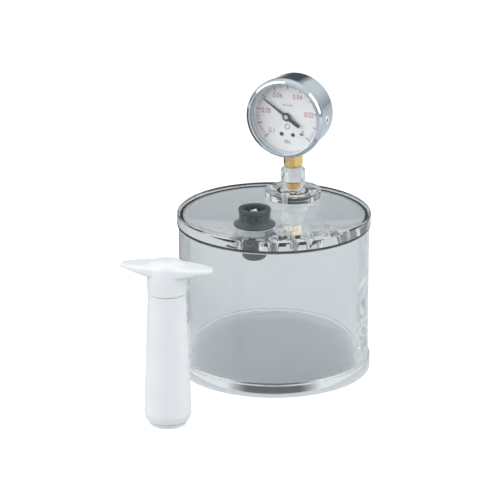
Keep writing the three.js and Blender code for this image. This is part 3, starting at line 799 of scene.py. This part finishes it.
def gauge_front():
    """The rolled bezel, and the pane, packing and spacer that it holds."""
    bezel_r = span("gauge_bezel")[1].x
    seat_r = 30.5
    mouth_r = 28.4
    skirt_r = 31.8
    lip = 16.8
    bezel = rounded(
        [
            (seat_r, 9.5, 0.1),
            (skirt_r, 9.5, 0.5),
            (skirt_r, 11.5, 0.8),
            (bezel_r, 13, 0.8),
            (bezel_r, 15, 1.2),
            (skirt_r, 16.9, 1.2),
            (30.7, 18.3, 1.2),
            (29.4, 19, 0.8),
            (28.6, 18.9, 0.4),
            (mouth_r, 17.2, 0.3),
            (mouth_r, lip, 0.1),
            (seat_r, lip, 0.2),
        ],
        closed=True,
        steps=8,
    )
    dress(lathe("gauge_rim", bezel, GAUGE, 192, True), CHROME, "lid", "chrome", "gauge_bezel")
    pane_r = 30
    low, high = PANE_Z - 1, PANE_Z + 1
    pane = rounded([(0, low, 0), (pane_r, low, 0.2), (pane_r, high, 0.2), (0, high, 0)])
    dress(lathe("gauge_pane", pane, GAUGE, 160), WINDOW, "lid", "window_glass", "gauge_window")
    section = rounded(
        [(28.45, 9.1, 0.1), (29.2, 9.1, 0.1), (29.2, 13.1, 0.1), (28.3, 13.1, 0.2)],
        closed=True,
    )
    dress(lathe("dial_spacer", section, GAUGE, 128, True), WHITE, "lid", "white_plastic")
    section = rounded(
        [(28.2, 13.3, 0.2), (pane_r, 13.3, 0.2), (pane_r, 14.3, 0.2), (28.2, 14.3, 0.2)],
        closed=True,
    )
    packing = lathe("gauge_packing", section, GAUGE, 128, closed=True)
    dress(packing, WHITE, "lid", "white_plastic", "window_gasket")


def gauge_stem():
    """The threaded shank, the hexagon above it and the block inside the case, as one brass piece."""
    hex_low = span("gauge_socket")[1].z + 0.9 - GAUGE_Z
    hex_high = -31.3
    hex_half = 7
    foot = STEM_FOOT - GAUGE_Z
    bore_r = 1.5
    pitch = 1.3
    upright = SOCKET @ Matrix.Translation((0, 0, GAUGE_Z))
    threads = []
    z = foot + 1.2
    while z < hex_low - 1.2:
        threads += [(6.25, z, 0), (5.55, z + pitch / 2, 0)]
        z += pitch
    shank = [
        (bore_r, foot, 0),
        (5.2, foot, 0.2),
        *threads,
        (5.6, hex_low, 0.1),
        (5.6, hex_low + 3, 0),
        (bore_r, hex_low + 3, 0),
    ]
    stem = lathe("stem_shank", rounded(shank, closed=True, steps=2), upright, closed=True)
    corners = circle(hex_half / math.cos(math.pi / 6), 6)
    nut = prism("hexagon", corners, hex_low, hex_high, upright)
    chamfer_r = 8.3
    dome = rounded(
        [
            (0, hex_low, 0),
            (6.7, hex_low, 0.3),
            (chamfer_r, hex_low + 1.5, 0.3),
            (chamfer_r, hex_high, 0),
            (0, hex_high, 0),
        ]
    )
    boolean(nut, [lathe("dome", dome, upright)], "INTERSECT")
    low, high = hex_high - 0.2, -17
    outline = [(-hex_half, low), (hex_half, low), (hex_half, high), (-hex_half, high)]
    boolean(nut, [prism("block", outline, -7, -1.3, GAUGE)], "UNION")
    boolean(nut, [drill(bore_r, foot - 1, -20, upright)])
    boolean(stem, [nut], "UNION")
    stem.name = "stem_hexagon"
    dress(stem, BRASS, "lid", "brass", "gauge_stem")
    thread_tape(upright, pitch)


def thread_tape(upright, pitch):
    """Turns of white tape wound on the thread, one step in the outline for each turn."""
    tape_r = 6.5
    under_r = 6.35
    low, high = TAPE_LOW - GAUGE_Z, TAPE_HIGH - GAUGE_Z
    wraps = []
    z = low + 0.4
    while z < high - 0.4:
        wraps += [(6.62, z, 0.2), (tape_r, z + 0.9, 0.2)]
        z += pitch
    tape = [
        (under_r, low, 0),
        (tape_r, low, 0.1),
        *wraps,
        (tape_r, high, 0.1),
        (under_r, high, 0),
    ]
    piece = lathe("stem_tape", rounded(tape, closed=True, steps=2), upright, closed=True)
    dress(piece, TAPE, "lid", "ptfe", "thread_tape")


DIAL_FRONT = 9.0
DIAL_R = 28.4
PRINT_T = 0.03
SCALE_FROM = -135.0
SCALE_STEP = 2.7
MARKS_PER_NUMBER = 20
CLASS_RING_Y = -8.4


def dial():
    back = DIAL_FRONT - 0.6
    hole_r = 1.4
    profile = rounded(
        [
            (hole_r, back, 0),
            (DIAL_R, back, 0.1),
            (DIAL_R, DIAL_FRONT, 0.15),
            (hole_r, DIAL_FRONT, 0.1),
        ],
        closed=True,
    )
    face = lathe("dial_face", profile, GAUGE, 160, closed=True)
    places = [GAUGE @ Matrix.Translation((x, -14.5, 0)) for x in (-4.7, 4.7)]
    boolean(face, [drill(0.95, 0, 20, at) for at in places])
    dress(face, DIAL, "lid", "dial_white", "dial")
    scale()
    numbers()
    for k, at in enumerate(places):
        dial_screw(f"face_screw_{k + 1}", at, f"dial_screw_{k + 1}")
    stop_peg()


def scale_angle(k):
    """The direction of a scale mark, counted from the 0.1 mark clockwise."""
    return math.radians(90 - (SCALE_FROM + k * SCALE_STEP))


def scale():
    black, red = [], []
    for k in range(101):
        a = scale_angle(k)
        if k % 10 == 0:
            black.append(mark(a, 22.0, 26.6, 0.55))
        elif k % 5 == 0:
            black.append(mark(a, 22.8, 26.4, 0.3))
        else:
            red.append(mark(a, 23.4, 26.2, 0.26))
    join("scale_major", black, BLACK_INK)
    join("scale_minor", red, RED_INK)


def numbers():
    """The six numbers, the two words and the small ring below the middle."""
    circle_r = 18.0
    words = []
    for k, text in enumerate(("0.1", "0.08", "0.06", "0.04", "0.02", "0")):
        a = scale_angle(MARKS_PER_NUMBER * k)
        words.append(label(text, circle_r * math.cos(a), circle_r * math.sin(a), 5.4))
    words.append(label("MPa", 0, -20.8, 3.8))
    words.append(label("VACUUM", 0, 8.8, 2.4))
    join("scale_numbers", words, RED_INK)
    inner, outer = 1.6, 2.2
    high = DIAL_FRONT + PRINT_T
    profile = [(inner, DIAL_FRONT), (outer, DIAL_FRONT), (outer, high), (inner, high)]
    at = GAUGE @ Matrix.Translation((0, CLASS_RING_Y, 0))
    ring = lathe("class_ring", profile, at, 40, closed=True)
    dress(ring, RED_INK, "lid", "dial_white")


def stop_peg():
    a = math.radians(-49)
    r = 17.5
    low, high = DIAL_FRONT + 0.05, DIAL_FRONT + 1.3
    peg = rounded([(0, low, 0), (0.8, low, 0), (0.8, high, 0.25), (0, high, 0)])
    at = GAUGE @ Matrix.Translation((r * math.cos(a), r * math.sin(a), 0))
    dress(lathe("stop_peg", peg, at, 24), BLACK, "lid", "black_paint", "zero_stop_pin")


def mark(a, r0, r1, width):
    """One scale mark: a thin printed bar from radius r0 to r1."""
    along = Vector((math.cos(a), math.sin(a)))
    side = Vector((-along.y, along.x)) * width / 2
    outline = [along * r0 - side, along * r1 - side, along * r1 + side, along * r0 + side]
    return prism("mark", outline, DIAL_FRONT, DIAL_FRONT + PRINT_T, GAUGE)


def label(text, x, y, size):
    """Printed text, taller and narrower than the font draws it."""
    curve = bpy.data.curves.new("label", "FONT")
    curve.body = text
    curve.size = size
    curve.align_x = "CENTER"
    curve.align_y = "CENTER"
    curve.extrude = PRINT_T / 2
    curve.resolution_u = 4
    made = bpy.data.objects.new("label", curve)
    bpy.context.scene.collection.objects.link(made)
    graph = bpy.context.evaluated_depsgraph_get()
    mesh = bpy.data.meshes.new_from_object(made.evaluated_get(graph))
    bpy.data.objects.remove(made)
    at = Matrix.Translation((x, y, DIAL_FRONT + PRINT_T / 2)) @ Matrix.Diagonal((0.85, 1.1, 1, 1))
    mesh.transform(Matrix.Scale(MM, 4) @ GAUGE @ at)
    piece = bpy.data.objects.new("label", mesh)
    bpy.context.scene.collection.objects.link(piece)
    return piece


def join(name, parts, look):
    """Makes one printed piece of many marks."""
    work = bmesh.new()
    for part in parts:
        work.from_mesh(part.data)
        bpy.data.objects.remove(part)
    mesh = bpy.data.meshes.new(name)
    work.to_mesh(mesh)
    work.free()
    piece = bpy.data.objects.new(name, mesh)
    bpy.context.scene.collection.objects.link(piece)
    dress(piece, look, "lid", "black_paint")


def dial_screw(name, at, node):
    """A slotted screw through the dial."""
    tip = 6.4
    under = DIAL_FRONT + 0.06
    head = DIAL_FRONT + 0.5
    shank_r = 0.65
    head_r = 1.5
    profile = rounded(
        [
            (0, tip, 0),
            (shank_r, tip, 0),
            (shank_r, under, 0),
            (head_r, under, 0.1),
            (head_r, head, 0.3),
            (0, head + 0.4, 0),
        ]
    )
    screw = lathe(name, profile, at, 32)
    outline = [(-2, -0.22), (2, -0.22), (2, 0.22), (-2, 0.22)]
    slit = prism("slit", outline, head, head + 1.5, at @ Matrix.Rotation(0.5, 4, "Z"))
    boolean(screw, [slit])
    dress(screw, BLACK, "lid", "black_paint", node)


def pointer():
    z0, z1 = DIAL_FRONT + 2, DIAL_FRONT + 2.5
    turned = GAUGE @ Matrix.Rotation(POINTER_REST, 4, "Z")
    low, high = z0 - 0.4, z1 + 0.4
    hub = rounded([(0.9, low, 0.1), (3.3, low, 0.2), (3.3, high, 0.3), (0.9, high, 0.1)], closed=True)
    piece = lathe("pointer_needle", hub, turned, 64, closed=True)
    needle = prism("needle", [(-1.05, 2.6), (1.05, 2.6), (0.4, 23.4), (-0.4, 23.4)], z0, z1, turned)
    corners = [(-1.4, -2.4, 0), (-1.4, -13, 1.35), (1.4, -13, 1.35), (1.4, -2.4, 0)]
    tail = rounded(corners, closed=True, steps=8)
    boolean(piece, [needle, prism("tail", tail, z0, z1, turned)], "UNION")
    dress(piece, BLACK, "pointer", "black_paint", "pointer")
    low, high = z1 + 0.6, z1 + 1.5
    cap = rounded([(0, low, 0), (1.9, low, 0.1), (1.9, low + 0.4, 0.3), (1.0, high, 0.4), (0, high, 0)])
    dress(lathe("pointer_boss", cap, turned, 48), CHROME, "pointer", "chrome", "pointer_cap")


# ---- Hand pump ----------------------------------------------------------------------------------
def pump_barrel():
    """The bulging barrel, open at the top and closed by a floor with a port, and its foot ring."""
    mouth = 12.9
    foot_t = span("pump_foot_ring")[1].z
    bore_r = 11.5
    bore_top = 97.8
    cap_r = 13
    port_r = 2.6
    floor_low, floor_high = 12.4, 14.6
    profile = rounded(
        [
            (mouth, foot_t, 0),
            (14.9, foot_t, 0.4),
            (16.6, foot_t + 1.1, 0.9),
            (18, foot_t + 6, 3.5),
            (17.3, 30, 30),
            (14.3, PUMP_TOP, 0.5),
            (cap_r, PUMP_TOP, 0.2),
            (cap_r, bore_top, 0.2),
            (bore_r, bore_top, 0.1),
            (bore_r, floor_high, 0.3),
            (port_r, floor_high, 0.2),
            (port_r, floor_low, 0.2),
            (mouth, floor_low, 0.2),
        ],
        closed=True,
        steps=8,
    )
    tube = lathe("pump_tube", profile, PUMP, 128, closed=True)
    dress(tube, WHITE, "pump_cylinder", "white_plastic", "pump_barrel")
    seam = 0.25
    profile = rounded(
        [
            (mouth, 0, 0.2),
            (13.9, 0, 0.6),
            (14.2, foot_t - 0.9, 0.3),
            (13.7, foot_t - seam, 0.1),
            (mouth, foot_t - seam, 0.1),
        ],
        closed=True,
    )
    foot = lathe("pump_foot", profile, PUMP, 128, closed=True)
    dress(foot, WHITE, "pump_cylinder", "white_plastic", "pump_foot_ring")


def wing_blade():
    """Both wings as one loft: a rounded section that narrows and thins towards each tip."""
    reach = 35.8
    half_width = 12.4
    top_z, droop = 128.2, 2.2
    under_z, root_depth, root_reach = 122.9, 5.2, 30
    stations = 72
    sides = 32
    verts, faces = [], []
    for i in range(stations + 1):
        x = -reach * math.cos(math.pi * i / stations)
        share = min(1.0, abs(x) / reach)
        chord = half_width * max(0.0, 1 - share**2.4) ** 0.5 + 0.01
        top = top_z - droop * share**1.6
        root = max(0.0, 1 - (share * reach / root_reach) ** 2)
        under = under_z - root_depth * root**1.3
        middle_z = (top + under) / 2
        thick = (top - under) / 2 * min(1.0, 0.35 + chord / 6)
        for k in range(sides):
            a = TURN * k / sides
            y = chord * math.copysign(abs(math.cos(a)) ** 0.45, math.cos(a))
            z = middle_z + thick * math.copysign(abs(math.sin(a)) ** 0.5, math.sin(a))
            verts.append((x, y, z))
    for i in range(stations):
        for k in range(sides):
            n = (k + 1) % sides
            faces.append([i * sides + k, i * sides + n, (i + 1) * sides + n, (i + 1) * sides + k])
    faces.append(list(range(sides)))
    faces.append([stations * sides + k for k in range(sides)])
    return store("blade", verts, faces, PUMP)


def pump_handle():
    """The hollow hub that stands on the barrel's top at rest, grown together with the wings."""
    skirt = PUMP_TOP + 0.3
    ceiling = skirt + 15
    rod_end = skirt + 20
    hub_r = 14.8
    skirt_r = 11.8
    rod_r = 4.1
    profile = rounded(
        [
            (0, HANDLE_TOP, 0),
            (7, HANDLE_TOP - 0.5, 6),
            (13, HANDLE_TOP - 2.6, 3),
            (14.2, HANDLE_TOP - 5.5, 2),
            (hub_r, skirt + 12, 4),
            (hub_r, skirt, 0.6),
            (skirt_r, skirt, 0.3),
            (skirt_r, ceiling, 0.3),
            (rod_r, ceiling, 0.3),
            (rod_r, rod_end, 0),
            (0, rod_end, 0),
        ],
        steps=8,
    )
    handle = lathe("pump_grip", profile, PUMP, 128)
    blade = wing_blade()
    below = 100
    boolean(blade, [drill(12, below, ceiling + 0.5, PUMP, 64), drill(rod_r, below, rod_end, PUMP, 64)])
    boolean(handle, [blade], "UNION")
    soften(handle, 0.5, 4)
    dress(handle, WHITE, "pump_plunger", "white_plastic", "pump_handle")


# ---- CAD nodes that keep their own shape --------------------------------------------------------
def carried_over():
    looks = {
        "black_rubber": RUBBER,
        "white_plastic": WHITE,
        "steel": STEEL,
        "brass": BRASS,
    }
    slots = {s["node"]: s["material_slot"] for s in frame["record"]["subparts"]}
    for name, piece in frame["nodes"].items():
        look = looks.get(slots[name])
        if look:
            piece.data.materials.clear()
            piece.data.materials.append(look)


# ---- Stage, light and camera --------------------------------------------------------------------
VIEW_AZIMUTH = math.radians(21.5)
VIEW_RIGHT = Vector((math.cos(VIEW_AZIMUTH), math.sin(VIEW_AZIMUTH), 0))
VIEW_LEVEL = Vector((math.sin(VIEW_AZIMUTH), -math.cos(VIEW_AZIMUTH), 0))


def floor():
    """Glows only towards the camera, so that it shows as white as the backdrop but lights nothing."""
    size = 6000
    corners = [(-size, -size, 0), (size, -size, 0), (size, size, 0), (-size, size, 0)]
    piece = store("floor", corners, [[0, 1, 2, 3]], Matrix.Translation((0, 0, -0.05)))
    look = Look("pale_floor", (0.60, 0.62, 0.635), 0.7)
    look.tone(look.noise(0.002), 0.99, 1.01)
    seen = look.node("ShaderNodeLightPath").outputs["Is Camera Ray"]
    look.shader.inputs["Emission Color"].default_value = (1, 1, 1, 1)
    look.set("Emission Strength", look.ranged(seen, 0, 0.55, 0, 1))
    piece.data.materials.append(look.material)


def flag():
    """A black card lying beside the object, which only mirrors and clear pieces show."""
    corners = [(-1200, -600, 1), (-230, -600, 1), (-130, 700, 1), (-1200, 700, 1)]
    card = store("flag", corners, [[0, 1, 2, 3]])
    card.data.materials.append(BLACK)
    card.visible_camera = False
    card.visible_diffuse = False
    card.visible_shadow = False
    card.visible_transmission = False


def lamp(name, place, target, size, watts):
    """A round lamp that mirrors show and clear pieces don't refract."""
    light = bpy.data.lights.new(name, "AREA")
    light.shape = "DISK"
    light.size = size
    light.energy = watts
    made = bpy.data.objects.new(name, light)
    bpy.context.scene.collection.objects.link(made)
    made.location = place
    made.rotation_euler = (Vector(target) - Vector(place)).to_track_quat("-Z", "Y").to_euler()
    made.visible_transmission = False


def world():
    """A bright studio, greyer low down, with dark cards at both sides and behind that only mirrors show."""
    sky = bpy.data.worlds.new("studio")
    bpy.context.scene.world = sky
    sky.use_nodes = True
    tree = sky.node_tree
    new = tree.nodes.new
    link = tree.links.new
    where = new("ShaderNodeTexCoord").outputs["Generated"]
    split = new("ShaderNodeSeparateXYZ")
    link(where, split.inputs[0])
    ramp = new("ShaderNodeValToRGB")
    link(split.outputs["Z"], ramp.inputs["Fac"])
    stops = ramp.color_ramp.elements
    stops[0].position = 0.0
    stops[0].color = (0.42, 0.445, 0.465, 1)
    stops[1].position = 0.3
    stops[1].color = (0.82, 0.83, 0.84, 1)
    value = ramp.outputs["Color"]
    path = new("ShaderNodeLightPath")
    behind = Vector((-0.345, 0.877, 0.333))
    # Each card's direction, the cosine of its angular radius, and its tone.
    cards = ((-VIEW_RIGHT, 0.88, 0.4), (VIEW_RIGHT, 0.88, 0.4), (behind, 0.93, 0.1))
    for direction, edge, tone in cards:
        dot = new("ShaderNodeVectorMath")
        dot.operation = "DOT_PRODUCT"
        link(where, dot.inputs[0])
        dot.inputs[1].default_value = direction
        fade = new("ShaderNodeMapRange")
        link(dot.outputs["Value"], fade.inputs["Value"])
        fade.inputs["From Min"].default_value = edge
        fade.inputs["From Max"].default_value = edge + 0.05
        mirrored = new("ShaderNodeMath")
        mirrored.operation = "MULTIPLY"
        link(fade.outputs["Result"], mirrored.inputs[0])
        link(path.outputs["Is Glossy Ray"], mirrored.inputs[1])
        mix = new("ShaderNodeMix")
        mix.data_type = "RGBA"
        link(mirrored.outputs[0], mix.inputs[0])
        link(value, mix.inputs[6])
        mix.inputs[7].default_value = (tone, tone * 1.08, tone * 1.12, 1)
        value = mix.outputs[2]
    lit = tree.nodes["Background"]
    link(value, lit.inputs["Color"])
    lit.inputs["Strength"].default_value = 1.0
    seen = new("ShaderNodeBackground")
    seen.inputs["Color"].default_value = (1, 1, 1, 1)
    either = new("ShaderNodeMixShader")
    link(path.outputs["Is Camera Ray"], either.inputs[0])
    link(lit.outputs[0], either.inputs[1])
    link(seen.outputs[0], either.inputs[2])
    link(either.outputs[0], tree.nodes["World Output"].inputs["Surface"])


def camera():
    elevation = math.radians(19.45)
    distance = 2.5146
    off_right, off_up = -0.0190, 0.0296
    target = Vector((0, 0, 0.064))
    away = VIEW_LEVEL * math.cos(elevation) + Vector((0, 0, math.sin(elevation)))
    up = away.cross(VIEW_RIGHT)
    lens = bpy.data.cameras.new("camera")
    lens.sensor_width = 36
    lens.lens = 228.4344
    lens.clip_end = 30
    made = bpy.data.objects.new("camera", lens)
    bpy.context.scene.collection.objects.link(made)
    made.location = target + away * distance
    aim = target + VIEW_RIGHT * off_right + up * off_up
    made.rotation_euler = (aim - made.location).to_track_quat("-Z", "Y").to_euler()
    bpy.context.scene.camera = made


def studio():
    floor()
    flag()
    world()
    lamp("left", (-1.5, -1.4, 1.2), (0, 0, 0.1), 1.9, 26)
    lamp("right", (1.8, 0.0, 1.1), (0, 0, 0.1), 1.9, 20)
    lamp("top", (0.1, 0.3, 2.2), (0, 0, 0), 2.0, 2)
    camera()
    scene = bpy.context.scene
    scene.view_settings.view_transform = "Standard"
    scene.cycles.use_denoising = True
    # Light takes many turns inside the walls: with fewer bounces they show dark blotches.
    bounces = 128
    scene.cycles.max_bounces = bounces
    scene.cycles.transmission_bounces = bounces
    scene.cycles.glossy_bounces = bounces
    scene.cycles.diffuse_bounces = 4
    scene.cycles.transparent_max_bounces = 32
    scene.cycles.sample_clamp_indirect = 6


vessel()
lid()
valve()
socket()
gauge_case()
gauge_front()
gauge_stem()
dial()
pointer()
pump_barrel()
pump_handle()
carried_over()
studio()
